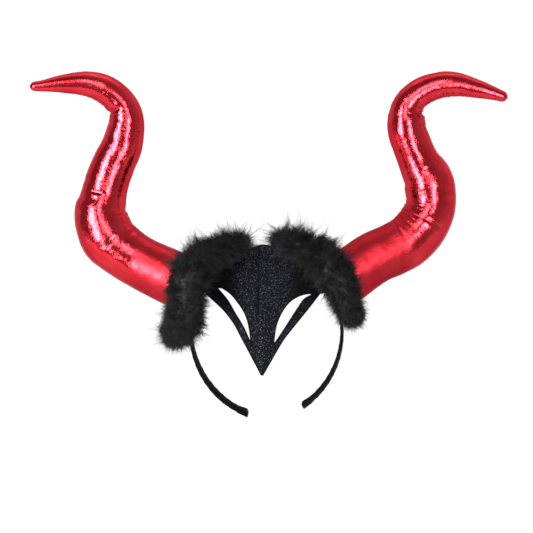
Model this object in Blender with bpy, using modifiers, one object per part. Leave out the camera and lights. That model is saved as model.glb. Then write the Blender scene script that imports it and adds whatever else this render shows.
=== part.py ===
"""Devil horns headband: a satin-wrapped band that carries a black glitter widow's peak, two stuffed
red horns, and a collar of black fur round the root of each horn.

Metres, +Z up. X runs across the wearer, -Y is the front, and the origin is where the crown of the head
touches the inner face of the band.
"""

import math
import random

import bmesh
import bpy
import numpy as np
from mathutils import Matrix, Vector

# The band is two half ellipses that meet at ear height, a shallow one above and a deep one below.
BAND_HALF_SPAN = 0.0604
BAND_CROWN_RISE = 0.0645
BAND_LOWER_REACH = 0.0662
# The arms run a little straighter than the ellipse, by this much halfway down.
BAND_SLACK = {"left": 0.0018, "right": 0.0010}
BAND_WIDTH = 0.0075
BAND_THICKNESS = 0.0026
BAND_ROUNDING = 0.0007
BAND_SEGMENTS = 64
BAND_TWIST_AT_ENDS = math.radians(28)
BAND_CENTRE_Z = BAND_THICKNESS / 2 - BAND_CROWN_RISE
BAND_ENDS = {"left": math.radians(255), "right": math.radians(-60.5)}

# The ribbon is folded over at the ends, so the last few segments of the band are wider and thicker.
END_FLARE_WIDTH = 1.35
END_FLARE_THICKNESS = 1.5
END_FLARE_SEGMENTS = 5

# The widow's peak is one sheet of glitter felt, folded over the top of the band.
FELT = 0.002
PEAK_X = -0.003
PEAK_DART_X = -0.0062
PEAK_FOLD_LIFT = BAND_THICKNESS / 2 + FELT / 2 + 0.0008
PEAK_FRONT_Y = -(BAND_WIDTH / 2 + FELT / 2 + 0.0005)
PEAK_BACK_Y = 0.0042
PEAK_FORWARD = 0.017
PEAK_ARM_REACH = 0.056
# The sheet stands up a little from the band at the crown, between the fur collars.
PEAK_DOME_RISE = 0.0034
PEAK_DOME_ANGLE = math.radians(93)
PEAK_DOME_WIDTH = math.radians(9)
PEAK_DART_DEPTH = 0.0013
PEAK_DART_WIDTH = 0.0022
PEAK_DART_END_Z = -0.058
PEAK_TIP = (-0.0035, -0.0956)
PEAK_TIP_HALF_WIDTH = 0.0006
CENTRE_COLUMNS = 8
ARM_COLUMNS = 2
WING_ROWS = 3
SLOT_ROWS = 12
TIP_ROWS = 4

# Each edge of the peak runs from the wing, just under the band, down to the foot of the slots.
# Columns: x, z.
PEAK_EDGES = {
    "left_arm_outer": (
        (-0.0456, -0.0328), (-0.0336, -0.0440), (-0.0256, -0.0544),
        (-0.0212, -0.0624), (-0.0178, -0.0688), (-0.0160, -0.0720),
    ),
    "left_arm_inner": (
        (-0.0400, -0.0256), (-0.0312, -0.0360), (-0.0256, -0.0456),
        (-0.0192, -0.0560), (-0.0146, -0.0656), (-0.0118, -0.0720),
    ),
    "centre_left": (
        (-0.0360, -0.0256), (-0.0288, -0.0304), (-0.0232, -0.0368),
        (-0.0178, -0.0448), (-0.0146, -0.0528), (-0.0128, -0.0624),
        (-0.0118, -0.0720),
    ),
    "centre_right": (
        (0.0360, -0.0304), (0.0296, -0.0312), (0.0234, -0.0336),
        (0.0170, -0.0384), (0.0114, -0.0464), (0.0075, -0.0560),
        (0.0059, -0.0656), (0.0054, -0.0720),
    ),
    "right_arm_inner": (
        (0.0368, -0.0317), (0.0304, -0.0352), (0.0256, -0.0416),
        (0.0152, -0.0576), (0.0096, -0.0660), (0.0054, -0.0720),
    ),
    "right_arm_outer": (
        (0.0424, -0.0304), (0.0344, -0.0408), (0.0200, -0.0584),
        (0.0140, -0.0660), (0.0101, -0.0720),
    ),
}
# Where each of those edges leaves the band, as an angle round its upper ellipse.
PEAK_TOP_ANGLES = {
    "left_arm_outer": math.radians(148),
    "left_arm_inner": math.radians(139),
    "centre_left": math.radians(133),
    "centre_right": math.radians(46),
    "right_arm_inner": math.radians(40),
    "right_arm_outer": math.radians(33),
}

# A horn leaves the band at this angle round the upper ellipse and at this rise, and leans back a little.
ROOTS = {
    "left": {"band_angle": math.radians(148), "rise": math.radians(155)},
    "right": {"band_angle": math.radians(33.5), "rise": math.radians(29.4)},
}
ROOT_LEAN_BACK = math.radians(12)
HORN_START = 0.0058
HORN_SECTIONS = 48
HORN_SIDES = 24
HORN_DEPTH_RATIO = 0.96
SEAM_RIDGE = 0.0006
SEAM_RIDGE_HALF_ANGLE = math.radians(11)
HORN_TIP_ROUNDING = 0.006

# Sections of each stuffed horn from root to tip. Columns: x, y, z of the centre, and diameter.
HORN_SECTIONS_TABLE = {
    "left": (
        (-0.0788, 0.0066, -0.0168, 0.0432),
        (-0.1016, 0.0105, -0.0056, 0.0413),
        (-0.1160, 0.0126, 0.0036, 0.0422),
        (-0.1270, 0.0142, 0.0134, 0.0444),
        (-0.1324, 0.0152, 0.0264, 0.0432),
        (-0.1338, 0.0156, 0.0360, 0.0408),
        (-0.1324, 0.0156, 0.0424, 0.0379),
        (-0.1312, 0.0155, 0.0488, 0.0358),
        (-0.1276, 0.0150, 0.0616, 0.0344),
        (-0.1228, 0.0142, 0.0744, 0.0336),
        (-0.1168, 0.0130, 0.0872, 0.0320),
        (-0.1136, 0.0116, 0.1000, 0.0296),
        (-0.1128, 0.0108, 0.1080, 0.0277),
        (-0.1140, 0.0098, 0.1168, 0.0250),
        (-0.1200, 0.0084, 0.1256, 0.0237),
        (-0.1296, 0.0072, 0.1328, 0.0224),
        (-0.1392, 0.0060, 0.1364, 0.0203),
        (-0.1496, 0.0048, 0.1377, 0.0181),
        (-0.1656, 0.0030, 0.1370, 0.0133),
        (-0.1776, 0.0012, 0.1356, 0.0093),
        (-0.1848, 0.0002, 0.1350, 0.0076),
        (-0.1894, 0.0000, 0.1348, 0.0068),
    ),
    "right": (
        (0.0824, 0.0066, -0.0048, 0.0416),
        (0.1024, 0.0102, 0.0048, 0.0414),
        (0.1150, 0.0124, 0.0124, 0.0416),
        (0.1250, 0.0144, 0.0232, 0.0414),
        (0.1314, 0.0154, 0.0360, 0.0396),
        (0.1326, 0.0156, 0.0456, 0.0394),
        (0.1316, 0.0154, 0.0552, 0.0402),
        (0.1294, 0.0149, 0.0632, 0.0384),
        (0.1232, 0.0139, 0.0744, 0.0328),
        (0.1178, 0.0126, 0.0872, 0.0308),
        (0.1136, 0.0114, 0.0984, 0.0302),
        (0.1124, 0.0104, 0.1080, 0.0294),
        (0.1130, 0.0096, 0.1168, 0.0259),
        (0.1172, 0.0084, 0.1252, 0.0230),
        (0.1264, 0.0072, 0.1320, 0.0218),
        (0.1373, 0.0060, 0.1358, 0.0205),
        (0.1464, 0.0050, 0.1370, 0.0195),
        (0.1560, 0.0040, 0.1362, 0.0179),
        (0.1688, 0.0024, 0.1331, 0.0142),
        (0.1800, 0.0010, 0.1299, 0.0108),
        (0.1880, 0.0002, 0.1272, 0.0086),
        (0.1929, 0.0000, 0.1258, 0.0074),
    ),
}

# Folds where the cloth gathers on the inside of a bend. Columns: share of the length from the root,
# angle round the section (0 is the outer bend side, 90 the front), depth, half length, half angle.
HORN_FOLDS = {
    "left": (
        (0.700, 168, 0.0030, 0.0045, 34),
        (0.680, 120, 0.0012, 0.0035, 26),
        (0.455, 70, 0.0010, 0.0035, 40),
        (0.330, 10, 0.0014, 0.0030, 40),
        (0.290, 355, 0.0012, 0.0030, 38),
        (0.245, 350, 0.0012, 0.0032, 38),
    ),
    "right": (
        (0.675, 190, 0.0026, 0.0045, 34),
        (0.650, 235, 0.0010, 0.0035, 30),
        (0.330, 10, 0.0014, 0.0032, 40),
        (0.290, 0, 0.0014, 0.0032, 40),
        (0.240, 350, 0.0012, 0.0032, 40),
    ),
}

# The fur trim is a backing tube that loops round the root, with pointed locks on its outer side.
FUR_SEGMENTS = 44
FUR_SIDES = 10
FUR_LOCK_SIDES = (-2, -1, 0, 1, 2)
FUR_LOCK_LENGTH = 1.0
FUR_LOCK_SPREAD = 0.35
FUR_SEED = 7
# The loop's centre line: columns are the turn round the horn's axis in degrees (0 the front, 90 the top),
# its reach from the axis, its shift along the axis away from the head, and the tube's radius there.
FUR_LOOPS = {
    "left": (
        (0, 0.0340, 0.0100, 0.0112),
        (45, 0.0360, 0.0080, 0.0106),
        (90, 0.0484, -0.0125, 0.0050),
        (135, 0.0365, 0.0090, 0.0080),
        (180, 0.0305, 0.0200, 0.0082),
        (225, 0.0350, 0.0160, 0.0090),
        (270, 0.0398, 0.0070, 0.0096),
        (315, 0.0380, -0.0030, 0.0124),
    ),
    "right": (
        (0, 0.0335, 0.0020, 0.0110),
        (45, 0.0395, 0.0020, 0.0126),
        (90, 0.0540, -0.0145, 0.0056),
        (135, 0.0380, 0.0050, 0.0080),
        (180, 0.0305, 0.0160, 0.0082),
        (225, 0.0320, 0.0130, 0.0080),
        (270, 0.0284, 0.0066, 0.0054),
        (315, 0.0326, -0.0050, 0.0084),
    ),
}

GLITTER_BLACK = ((0.012, 0.011, 0.016), 0.55, 0.1)
SATIN_BLACK = ((0.008, 0.008, 0.008), 0.45, 0.0)
FUR_BLACK = ((0.014, 0.014, 0.014), 0.85, 0.0)
LAME_RED = ((0.55, 0.012, 0.022), 0.3, 0.85)


def make_material(name, finish):
    """A Principled material from (colour, roughness, metallic)."""
    colour, roughness, metallic = finish
    material = bpy.data.materials.new(name)
    material.use_nodes = True
    shader = material.node_tree.nodes["Principled BSDF"]
    shader.inputs["Base Color"].default_value = (*colour, 1.0)
    shader.inputs["Roughness"].default_value = roughness
    shader.inputs["Metallic"].default_value = metallic
    return material


def add_part(name, mesh, material, smooth_angle=40):
    mesh.shade_smooth()
    mesh.set_sharp_from_angle(angle=math.radians(smooth_angle))
    part = bpy.data.objects.new(name, mesh)
    part.data.materials.append(material)
    parts.objects.link(part)
    return part


def mesh_from(name, builder):
    mesh = bpy.data.meshes.new(name)
    builder.to_mesh(mesh)
    builder.free()
    return mesh


def smooth_curve(rows, count):
    """Points at even steps along a Catmull-Rom curve through the rows, which may carry extra columns."""
    points = np.array(rows, float)
    points = np.vstack([2 * points[0] - points[1], points, 2 * points[-1] - points[-2]])
    fine = []
    for before, start, end, after in zip(points, points[1:], points[2:], points[3:]):
        for t in np.arange(0, 1, 0.05):
            fine.append(
                start
                + 0.5 * t * (end - before)
                + t * t * (before - 2.5 * start + 2 * end - 0.5 * after)
                + t**3 * 0.5 * (after - before + 3 * (start - end))
            )
    fine = np.array([*fine, points[-2]])
    steps = np.linalg.norm(np.diff(fine[:, :3], axis=0), axis=1)
    along = np.concatenate([[0], np.cumsum(steps)])
    wanted = np.linspace(0, along[-1], count)
    return np.stack([np.interp(wanted, along, column) for column in fine.T], axis=1)


def skin_rings(name, rings, closed_loop=False):
    """A closed surface over rings of equal count: end faces cap it unless the rings form a loop."""
    builder = bmesh.new()
    made = [[builder.verts.new(point) for point in ring] for ring in rings]
    pairs = list(zip(made, made[1:]))
    if closed_loop:
        pairs.append((made[-1], made[0]))
    for first, second in pairs:
        for i in range(len(first)):
            j = (i + 1) % len(first)
            builder.faces.new((first[i], first[j], second[j], second[i]))
    if not closed_loop:
        builder.faces.new(made[0])
        builder.faces.new(made[-1])
    bmesh.ops.recalc_face_normals(builder, faces=builder.faces)
    return mesh_from(name, builder)


def band_point(angle, lift=0.0):
    """A point in the band's plane: angle 0 is the ear on +X, 90 degrees the crown."""
    rise = BAND_CROWN_RISE if math.sin(angle) >= 0 else BAND_LOWER_REACH
    outward = Vector((math.cos(angle) / BAND_HALF_SPAN, 0, math.sin(angle) / rise)).normalized()
    centreline = Vector((BAND_HALF_SPAN * math.cos(angle), 0, BAND_CENTRE_Z + rise * math.sin(angle)))
    if math.sin(angle) < 0:
        slack = BAND_SLACK["right" if math.cos(angle) > 0 else "left"]
        lift -= slack * abs(math.sin(2 * angle))
    return centreline + outward * lift, outward


def band_section(angle, width, thickness, rounding, twist):
    """The eight corners of the band's section, with its broad faces turned by the twist."""
    centre, outward = band_point(angle)
    along = outward.cross(Vector((0, 1, 0)))
    turn = Matrix.Rotation(twist, 3, along)
    across = turn @ Vector((0, 1, 0))
    outward = turn @ outward
    w, t, r = width / 2, thickness / 2, rounding
    corners = ((w, t - r), (w - r, t), (r - w, t), (-w, t - r), (-w, r - t), (r - w, -t), (w - r, -t), (w, r - t))
    return [centre + across * y + outward * z for y, z in corners]


def band_twist(angle):
    """No twist over the crown, growing from ear height to the ends, opposite ways on the two sides."""
    below = min(1.0, max(0.0, -math.sin(angle) + 0.25))
    return math.copysign(BAND_TWIST_AT_ENDS * below, math.cos(angle))


def build_band():
    start, end = BAND_ENDS["right"], BAND_ENDS["left"]
    rings = []
    for i in range(BAND_SEGMENTS + 1):
        angle = start + (end - start) * i / BAND_SEGMENTS
        flare = max(0.0, 1 - min(i, BAND_SEGMENTS - i) / END_FLARE_SEGMENTS)
        wide = BAND_WIDTH * (1 + (END_FLARE_WIDTH - 1) * flare)
        thick = BAND_THICKNESS * (1 + (END_FLARE_THICKNESS - 1) * flare)
        rings.append(band_section(angle, wide, thick, BAND_ROUNDING, band_twist(angle)))
    add_part("headband", skin_rings("headband", rings), satin)


def peak_depth(x, z):
    """How far forward the sheet hangs: least at the band and the wings, most at the tip, with a dart."""
    hang = min(1.0, max(0.0, -z / -PEAK_TIP[1]))
    near_centre = max(0.0, 1 - (abs(x - PEAK_X) / PEAK_ARM_REACH) ** 1.7)
    forward = PEAK_FORWARD * math.sin(hang * math.pi / 2) * near_centre
    fade = min(1.0, max(0.0, (z - PEAK_DART_END_Z) / 0.012))
    dart = PEAK_DART_DEPTH * fade * math.exp(-(((x - PEAK_DART_X) / PEAK_DART_WIDTH) ** 2))
    return PEAK_FRONT_Y - forward + dart


def spread(first, last, count):
    """count + 1 points from first to last."""
    return [first + (last - first) * i / count for i in range(count + 1)]


def peak_row(corners):
    """One row of the sheet from the six edge points: left arm, centre body, right arm."""
    left_outer, left_inner, centre_left, centre_right, right_inner, right_outer = corners
    return (
        spread(left_outer, left_inner, ARM_COLUMNS)
        + spread(centre_left, centre_right, CENTRE_COLUMNS)
        + spread(right_inner, right_outer, ARM_COLUMNS)
    )


def peak_rows():
    """Rows of points from the back of the fold over the band down to the tip."""
    angles = peak_row(list(PEAK_TOP_ANGLES.values()))
    rows = []
    fold = (
        (PEAK_FOLD_LIFT, PEAK_BACK_Y),
        (PEAK_FOLD_LIFT, 0.0),
        (PEAK_FOLD_LIFT, PEAK_FRONT_Y + 0.0006),
        (PEAK_FOLD_LIFT - 0.0006, PEAK_FRONT_Y),
        (-BAND_THICKNESS, PEAK_FRONT_Y),
    )
    for lift, y in fold:
        rise = PEAK_DOME_RISE if lift > 0 else 0.0
        row = []
        for angle in angles:
            dome = rise * math.exp(-(((angle - PEAK_DOME_ANGLE) / PEAK_DOME_WIDTH) ** 2))
            row.append(band_point(angle, lift + dome)[0] + Vector((0, y, 0)))
        rows.append(row)
    curves = [smooth_curve([(x, 0, z) for x, z in edge], SLOT_ROWS + 1) for edge in PEAK_EDGES.values()]
    slots = [peak_row([Vector(curve[i]) for curve in curves]) for i in range(SLOT_ROWS + 1)]
    for i in range(1, WING_ROWS + 1):
        share = i / (WING_ROWS + 1)
        rows.append([top.lerp(foot, share) for top, foot in zip(rows[4], slots[0])])
    rows.extend(slots)
    foot = slots[-1]
    for i in range(1, TIP_ROWS + 1):
        share = i / TIP_ROWS
        row = []
        for j, point in enumerate(foot):
            column = j - (j > ARM_COLUMNS) - (j > ARM_COLUMNS + CENTRE_COLUMNS + 1)
            offset = (2 * column / (len(foot) - 3) - 1) * PEAK_TIP_HALF_WIDTH
            row.append(point.lerp(Vector((PEAK_TIP[0] + offset, 0, PEAK_TIP[1])), share))
        rows.append(row)
    return rows


def build_peak():
    rows = peak_rows()
    folded = 5
    first_slot = folded + WING_ROWS
    builder = bmesh.new()
    made = []
    for i, row in enumerate(rows):
        made.append([])
        for point in row:
            y = point.y if i < folded else peak_depth(point.x, point.z)
            made[-1].append(builder.verts.new((point.x, y, point.z)))
    open_columns = (ARM_COLUMNS, ARM_COLUMNS + CENTRE_COLUMNS + 1)
    for i in range(len(rows) - 1):
        for j in range(len(rows[0]) - 1):
            if j in open_columns and first_slot <= i < first_slot + SLOT_ROWS:
                continue
            if j in open_columns and i >= first_slot + SLOT_ROWS:
                continue
            builder.faces.new((made[i][j], made[i + 1][j], made[i + 1][j + 1], made[i][j + 1]))
    bmesh.ops.remove_doubles(builder, verts=builder.verts, dist=0.00002)
    sheet = add_part("widows_peak", mesh_from("widows_peak", builder), glitter)
    wall = sheet.modifiers.new("felt", "SOLIDIFY")
    wall.thickness = FELT
    wall.offset = 0
    wall.use_even_offset = False


def root_frame(side):
    """The point on the band, and the horn's own directions there: along, front and up."""
    root = ROOTS[side]
    origin, _ = band_point(root["band_angle"])
    level = Vector((math.cos(root["rise"]), 0, math.sin(root["rise"])))
    along = level * math.cos(ROOT_LEAN_BACK) + Vector((0, math.sin(ROOT_LEAN_BACK), 0))
    front = (Vector((0, -1, 0)) + along * along.y).normalized()
    up = along.cross(front)
    return origin, along, front, up if up.z > 0 else -up


def fold_at(side, share, length, angle):
    """How deep the cloth is drawn in at this place on a horn."""
    depth = 0.0
    for at, turn, most, half_length, half_angle in HORN_FOLDS[side]:
        off_along = (share - at) * length / half_length
        off_round = ((math.degrees(angle) - turn + 180) % 360 - 180) / half_angle
        depth += most * math.exp(-off_along * off_along - off_round * off_round)
    return depth


def build_horn(side):
    origin, along, _, _ = root_frame(side)
    start = origin + along * HORN_START
    first = HORN_SECTIONS_TABLE[side][0]
    rows = [(*start, first[3]), *HORN_SECTIONS_TABLE[side]]
    samples = smooth_curve(rows, HORN_SECTIONS)
    centres = [Vector(row[:3]) for row in samples]
    length = sum((b - a).length for a, b in zip(centres, centres[1:]))
    outer = 1 if side == "right" else -1
    rings = []
    for i, row in enumerate(samples):
        before, after = centres[max(i - 1, 0)], centres[min(i + 1, HORN_SECTIONS - 1)]
        heading = along if i == 0 else (after - before).normalized()
        deep = (Vector((0, -1, 0)) + heading * heading.y).normalized()
        side_way = heading.cross(deep) * outer
        share = i / (HORN_SECTIONS - 1)
        left_over = (1 - share) * length
        rounding = math.sqrt(1 - max(0.0, 1 - left_over / HORN_TIP_ROUNDING) ** 2) if left_over else 0.25
        radius = row[3] / 2 * max(0.25, rounding)
        ring = []
        for j in range(HORN_SIDES):
            angle = 2 * math.pi * j / HORN_SIDES
            turn = (angle + math.pi / 2) % math.pi - math.pi / 2
            ridge = SEAM_RIDGE * math.exp(-((turn / SEAM_RIDGE_HALF_ANGLE) ** 2))
            reach = radius + ridge - fold_at(side, share, length, angle)
            across = side_way * math.cos(angle) * reach
            ring.append(centres[i] + across + deep * math.sin(angle) * reach * HORN_DEPTH_RATIO)
        rings.append(ring)
    add_part(f"horn_{side}", skin_rings("horn", rings), lame)


def loop_at(table, turn):
    """Reach, shift and radius at this turn in degrees, on a smooth closed curve through the table's rows."""
    step = 360 / len(table)
    first = int(turn // step)
    t = turn / step - first
    before, start, end, after = (np.array(table[(first + k) % len(table)][1:]) for k in (-1, 0, 1, 2))
    return (
        start
        + 0.5 * t * (end - before)
        + t * t * (before - 2.5 * start + 2 * end - 0.5 * after)
        + t**3 * 0.5 * (after - before + 3 * (start - end))
    )


def build_fur(side):
    """The backing tube, whose outer faces are drawn out into locks."""
    origin, along, front, up = root_frame(side)
    line, outwards, radii = [], [], []
    for i in range(FUR_SEGMENTS):
        angle = 2 * math.pi * i / FUR_SEGMENTS
        reach, shift, radius = loop_at(FUR_LOOPS[side], 360 * i / FUR_SEGMENTS)
        outward = front * math.cos(angle) + up * math.sin(angle)
        outwards.append(outward)
        line.append(origin + along * shift + outward * reach)
        radii.append(radius)
    rings = []
    for i, centre in enumerate(line):
        heading = (line[(i + 1) % FUR_SEGMENTS] - line[i - 1]).normalized()
        away = (outwards[i] - heading * outwards[i].dot(heading)).normalized()
        beside = heading.cross(away)
        ring = []
        for j in range(FUR_SIDES):
            angle = 2 * math.pi * (j + 0.5) / FUR_SIDES
            ring.append(centre + (away * math.cos(angle) + beside * math.sin(angle)) * radii[i])
        rings.append(ring)
    mesh = skin_rings("fur", rings, closed_loop=True)
    draw_out_locks(mesh, line, radii)
    add_part(f"fur_collar_{side}", mesh, fur, smooth_angle=25)


def draw_out_locks(mesh, line, radii):
    """Each outer face of the tube rises into one pointed lock of uneven length, leaning a little along it."""
    builder = bmesh.new()
    builder.from_mesh(mesh)
    builder.faces.ensure_lookup_table()
    chance = random.Random(FUR_SEED)
    locks = []
    for i in range(FUR_SEGMENTS):
        for side in FUR_LOCK_SIDES:
            face = builder.faces[i * FUR_SIDES + (side - 1) % FUR_SIDES]
            away = (face.calc_center_median() - line[i]).normalized()
            heading = (line[(i + 1) % FUR_SEGMENTS] - line[i]).normalized()
            lean = heading * chance.uniform(-FUR_LOCK_SPREAD, FUR_LOCK_SPREAD)
            length = radii[i] * FUR_LOCK_LENGTH * chance.uniform(0.7, 1.0)
            locks.append((face, (away + lean).normalized() * length))
    for face, reach in locks:
        made = bmesh.ops.poke(builder, faces=[face])
        made["verts"][0].co += reach
    builder.to_mesh(mesh)
    builder.free()


for leftover in list(bpy.data.objects):
    bpy.data.objects.remove(leftover)
parts = bpy.data.collections.new("devil_horns_headband")
bpy.context.scene.collection.children.link(parts)
glitter = make_material("glitter_felt", GLITTER_BLACK)
satin = make_material("satin_ribbon", SATIN_BLACK)
fur = make_material("fur", FUR_BLACK)
lame = make_material("red_lame", LAME_RED)

build_band()
build_peak()
for side in ("left", "right"):
    build_horn(side)
    build_fur(side)
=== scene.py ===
import math
import random

import bmesh
import bpy
import numpy as np
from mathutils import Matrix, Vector, noise


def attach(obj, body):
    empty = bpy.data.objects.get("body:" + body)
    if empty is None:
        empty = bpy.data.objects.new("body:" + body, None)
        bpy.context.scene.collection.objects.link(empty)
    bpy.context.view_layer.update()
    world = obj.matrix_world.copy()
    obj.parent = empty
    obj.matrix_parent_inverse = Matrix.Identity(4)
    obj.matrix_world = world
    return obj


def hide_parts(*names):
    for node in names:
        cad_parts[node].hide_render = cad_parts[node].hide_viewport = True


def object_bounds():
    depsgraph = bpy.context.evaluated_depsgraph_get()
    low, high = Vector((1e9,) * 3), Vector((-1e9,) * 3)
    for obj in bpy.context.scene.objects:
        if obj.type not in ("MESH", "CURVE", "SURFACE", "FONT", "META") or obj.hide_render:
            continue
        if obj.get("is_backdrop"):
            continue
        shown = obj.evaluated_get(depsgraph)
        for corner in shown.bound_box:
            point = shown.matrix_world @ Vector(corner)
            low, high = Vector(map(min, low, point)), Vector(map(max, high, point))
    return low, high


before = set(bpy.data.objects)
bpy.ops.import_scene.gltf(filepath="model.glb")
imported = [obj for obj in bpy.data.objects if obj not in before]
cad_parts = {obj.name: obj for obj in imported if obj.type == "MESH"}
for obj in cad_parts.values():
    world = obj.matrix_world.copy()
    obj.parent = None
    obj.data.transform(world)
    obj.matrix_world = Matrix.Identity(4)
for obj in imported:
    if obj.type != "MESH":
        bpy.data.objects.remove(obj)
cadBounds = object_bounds()

millimetre = 0.001
fullTurn = 6.283


class Signal:
    def __init__(self, tree, socket):
        self.tree = tree
        self.socket = socket

    def output(self, which):
        return Signal(self.tree, self.socket.node.outputs[which])

    def maths(self, operation, *given):
        made = self.tree.nodes.new("ShaderNodeMath")
        made.operation = operation
        for place, value in zip(made.inputs, given):
            plug(self.tree, place, value)
        return Signal(self.tree, made.outputs[0])

    def __add__(self, other):
        return self.maths("ADD", self, other)

    def __radd__(self, other):
        return self.maths("ADD", other, self)

    def __sub__(self, other):
        return self.maths("SUBTRACT", self, other)

    def __rsub__(self, other):
        return self.maths("SUBTRACT", other, self)

    def __mul__(self, other):
        return self.maths("MULTIPLY", self, other)

    def __truediv__(self, other):
        return self.maths("DIVIDE", self, other)

    def __gt__(self, other):
        return self.maths("GREATER_THAN", self, other)


def plug(tree, place, value):
    if isinstance(value, Signal):
        tree.links.new(value.socket, place)
    else:
        place.default_value = value


class Wiring:
    def __init__(self, tree):
        self.tree = tree

    def add(self, kind, settings=None, sockets=None, out=0):
        made = self.tree.nodes.new(kind)
        for name, value in (settings or {}).items():
            setattr(made, name, value)
        for name, value in (sockets or {}).items():
            plug(self.tree, made.inputs[name], value)
        return Signal(self.tree, made.outputs[out])

    def blend(self, factor, first, second):
        return self.add(
            "ShaderNodeMix",
            {"data_type": "RGBA"},
            {0: factor, 6: first, 7: second},
            out=2,
        )

    def fade(self, value, low, high, start=0.0, end=1.0):
        return self.add(
            "ShaderNodeMapRange",
            {"interpolation_type": "SMOOTHSTEP"},
            {"Value": value, "From Min": low, "From Max": high, "To Min": start, "To Max": end},
        )

    def noise(self, place, scale, detail, **more):
        return self.add("ShaderNodeTexNoise", {}, {"Vector": place, "Scale": scale, "Detail": detail, **more})

    def bump(self, height, strength, distance):
        return self.add("ShaderNodeBump", {}, {"Strength": strength, "Distance": distance, "Height": height})

    def split(self, vector):
        return self.add("ShaderNodeSeparateXYZ", {}, {"Vector": vector})

    def join(self, x, y, z):
        return self.add("ShaderNodeCombineXYZ", {}, {"X": x, "Y": y, "Z": z})

    def vectors(self, operation, first, second):
        return self.add("ShaderNodeVectorMath", {"operation": operation}, {0: first, 1: second})

    def lengthen(self, vector, amount):
        return self.add("ShaderNodeVectorMath", {"operation": "SCALE"}, {0: vector, "Scale": amount})

    def random(self, seed, low, high):
        if isinstance(low, tuple):
            kind, sockets, out = "FLOAT_VECTOR", {0: low, 1: high, "Seed": seed}, 0
        else:
            kind, sockets, out = "FLOAT", {2: low, 3: high, "Seed": seed}, 1
        return self.add("FunctionNodeRandomValue", {"data_type": kind}, sockets, out=out)


def startMaterial(name):
    material = bpy.data.materials.new(name)
    material.use_nodes = True
    tree = material.node_tree
    shader = tree.nodes["Principled BSDF"]
    return material, Wiring(tree), shader


def finishMaterial(wires, shader, varying, uniform):
    for name, value in varying.items():
        plug(wires.tree, shader.inputs[name], value)
    for name, value in uniform.items():
        shader.inputs[name].default_value = value


foilLook = {
    "deepRed": (0.50, 0.022, 0.032, 1),
    "brightRed": (0.58, 0.032, 0.044, 1),
    # painted shade: the dark red that dims the highlight near the horn roots
    "shadedRootRed": (0.21, 0.008, 0.013, 1),
    "edgeTint": (0.72, 0.48, 0.50, 1),
    "gloss": 0.09,
    "rubbedRough": 0.30,
    "tipRough": 0.06,
    "leftShare": 0.7,
    "broadScale": 60.0,
    "grainScale": 620.0,
    "crinkleScale": 150.0,
    "threadScale": 700.0,
    "threadStretch": (1.0, 0.3, 1.0),
    # where the cloth turns from clean to rubbed, with painted shade darkening its red, in metres: from
    # outside, from inside and from above
    "rubbedShadedRight": ((0.124, 0.108), (0.02, 0.05)),
    "rubbedShadedLeft": ((-0.112, -0.100), (-0.02, -0.05)),
    "rubbedShadedBelow": (0.050, 0.030),
    "tipsAbove": (0.124, 0.136),
    "rootShadeBlend": 0.6,
}


def redFoilCloth():
    material, wires, shader = startMaterial("redFoilCloth")
    place = wires.add("ShaderNodeTexCoord", out="Object")
    cloth = wires.add("ShaderNodeUVMap", {"uv_map": "cloth"})
    broad = wires.noise(place, foilLook["broadScale"], 2.0)
    grain = wires.noise(place, foilLook["grainScale"], 3.0, Roughness=0.65)
    stretched = wires.vectors("MULTIPLY", cloth, foilLook["threadStretch"])
    threads = wires.noise(stretched, foilLook["threadScale"], 3.0)
    crinkle = wires.noise(place, foilLook["crinkleScale"], 3.0, Distortion=1.2)
    side = wires.split(place)
    above = side.output(2)
    # the foil is rougher and duller near the roots, more so on the right horn, and a little at the tips; near
    # the roots its red is also darkened with painted shade that dims the highlight there
    rubbedShadedRight, rubbedShadedLeft = (
        wires.fade(side, *outer) * wires.fade(side, *inner)
        for outer, inner in (foilLook["rubbedShadedRight"], foilLook["rubbedShadedLeft"])
    )
    rubbedAndShaded = rubbedShadedRight + rubbedShadedLeft * foilLook["leftShare"]
    rubbedAndShaded = rubbedAndShaded * wires.fade(above, *foilLook["rubbedShadedBelow"])
    tips = wires.fade(above, *foilLook["tipsAbove"])
    colour = wires.blend(wires.fade(broad, 0.35, 0.7), foilLook["deepRed"], foilLook["brightRed"])
    # painted shade: near the roots the red darkens, dimming the highlight there
    colour = wires.blend(rubbedAndShaded * foilLook["rootShadeBlend"], colour, foilLook["shadedRootRed"])
    rough = foilLook["gloss"] + grain * 0.08 + rubbedAndShaded * foilLook["rubbedRough"] + tips * foilLook["tipRough"]
    height = grain * (0.5 + wires.fade(broad, 0.4, 0.62) * 0.4) + threads * 0.35 + crinkle * 1.1
    finishMaterial(
        wires, shader,
        {"Base Color": colour, "Roughness": rough, "Normal": wires.bump(height, 0.5, 0.0004)},
        {"Metallic": 1.0, "Specular Tint": foilLook["edgeTint"]},
    )
    return material


glitterLook = {
    "black": (0.0006, 0.0006, 0.0011, 1),
    "navy": (0.0085, 0.0082, 0.0135, 1),
    "silver": (0.062, 0.062, 0.076, 1),
    "flakes": 2500.0,
    "brightFrom": 0.955,
    "patchScale": 160.0,
    # in metres: the sheet's middle and its dart, and where the sparkle gives way to painted shade on the
    # wings and where the dart's painted shade line fades in
    "middle": 0.003,
    "shadedWingEdge": (0.029, 0.016),
    "pointBelow": (-0.030, -0.046),
    "dart": 0.0062,
    "dartEdge": (0.0011, 0.0003),
    "dartAbove": (-0.052, -0.044),
    "dartShade": 0.85,
}


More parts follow.
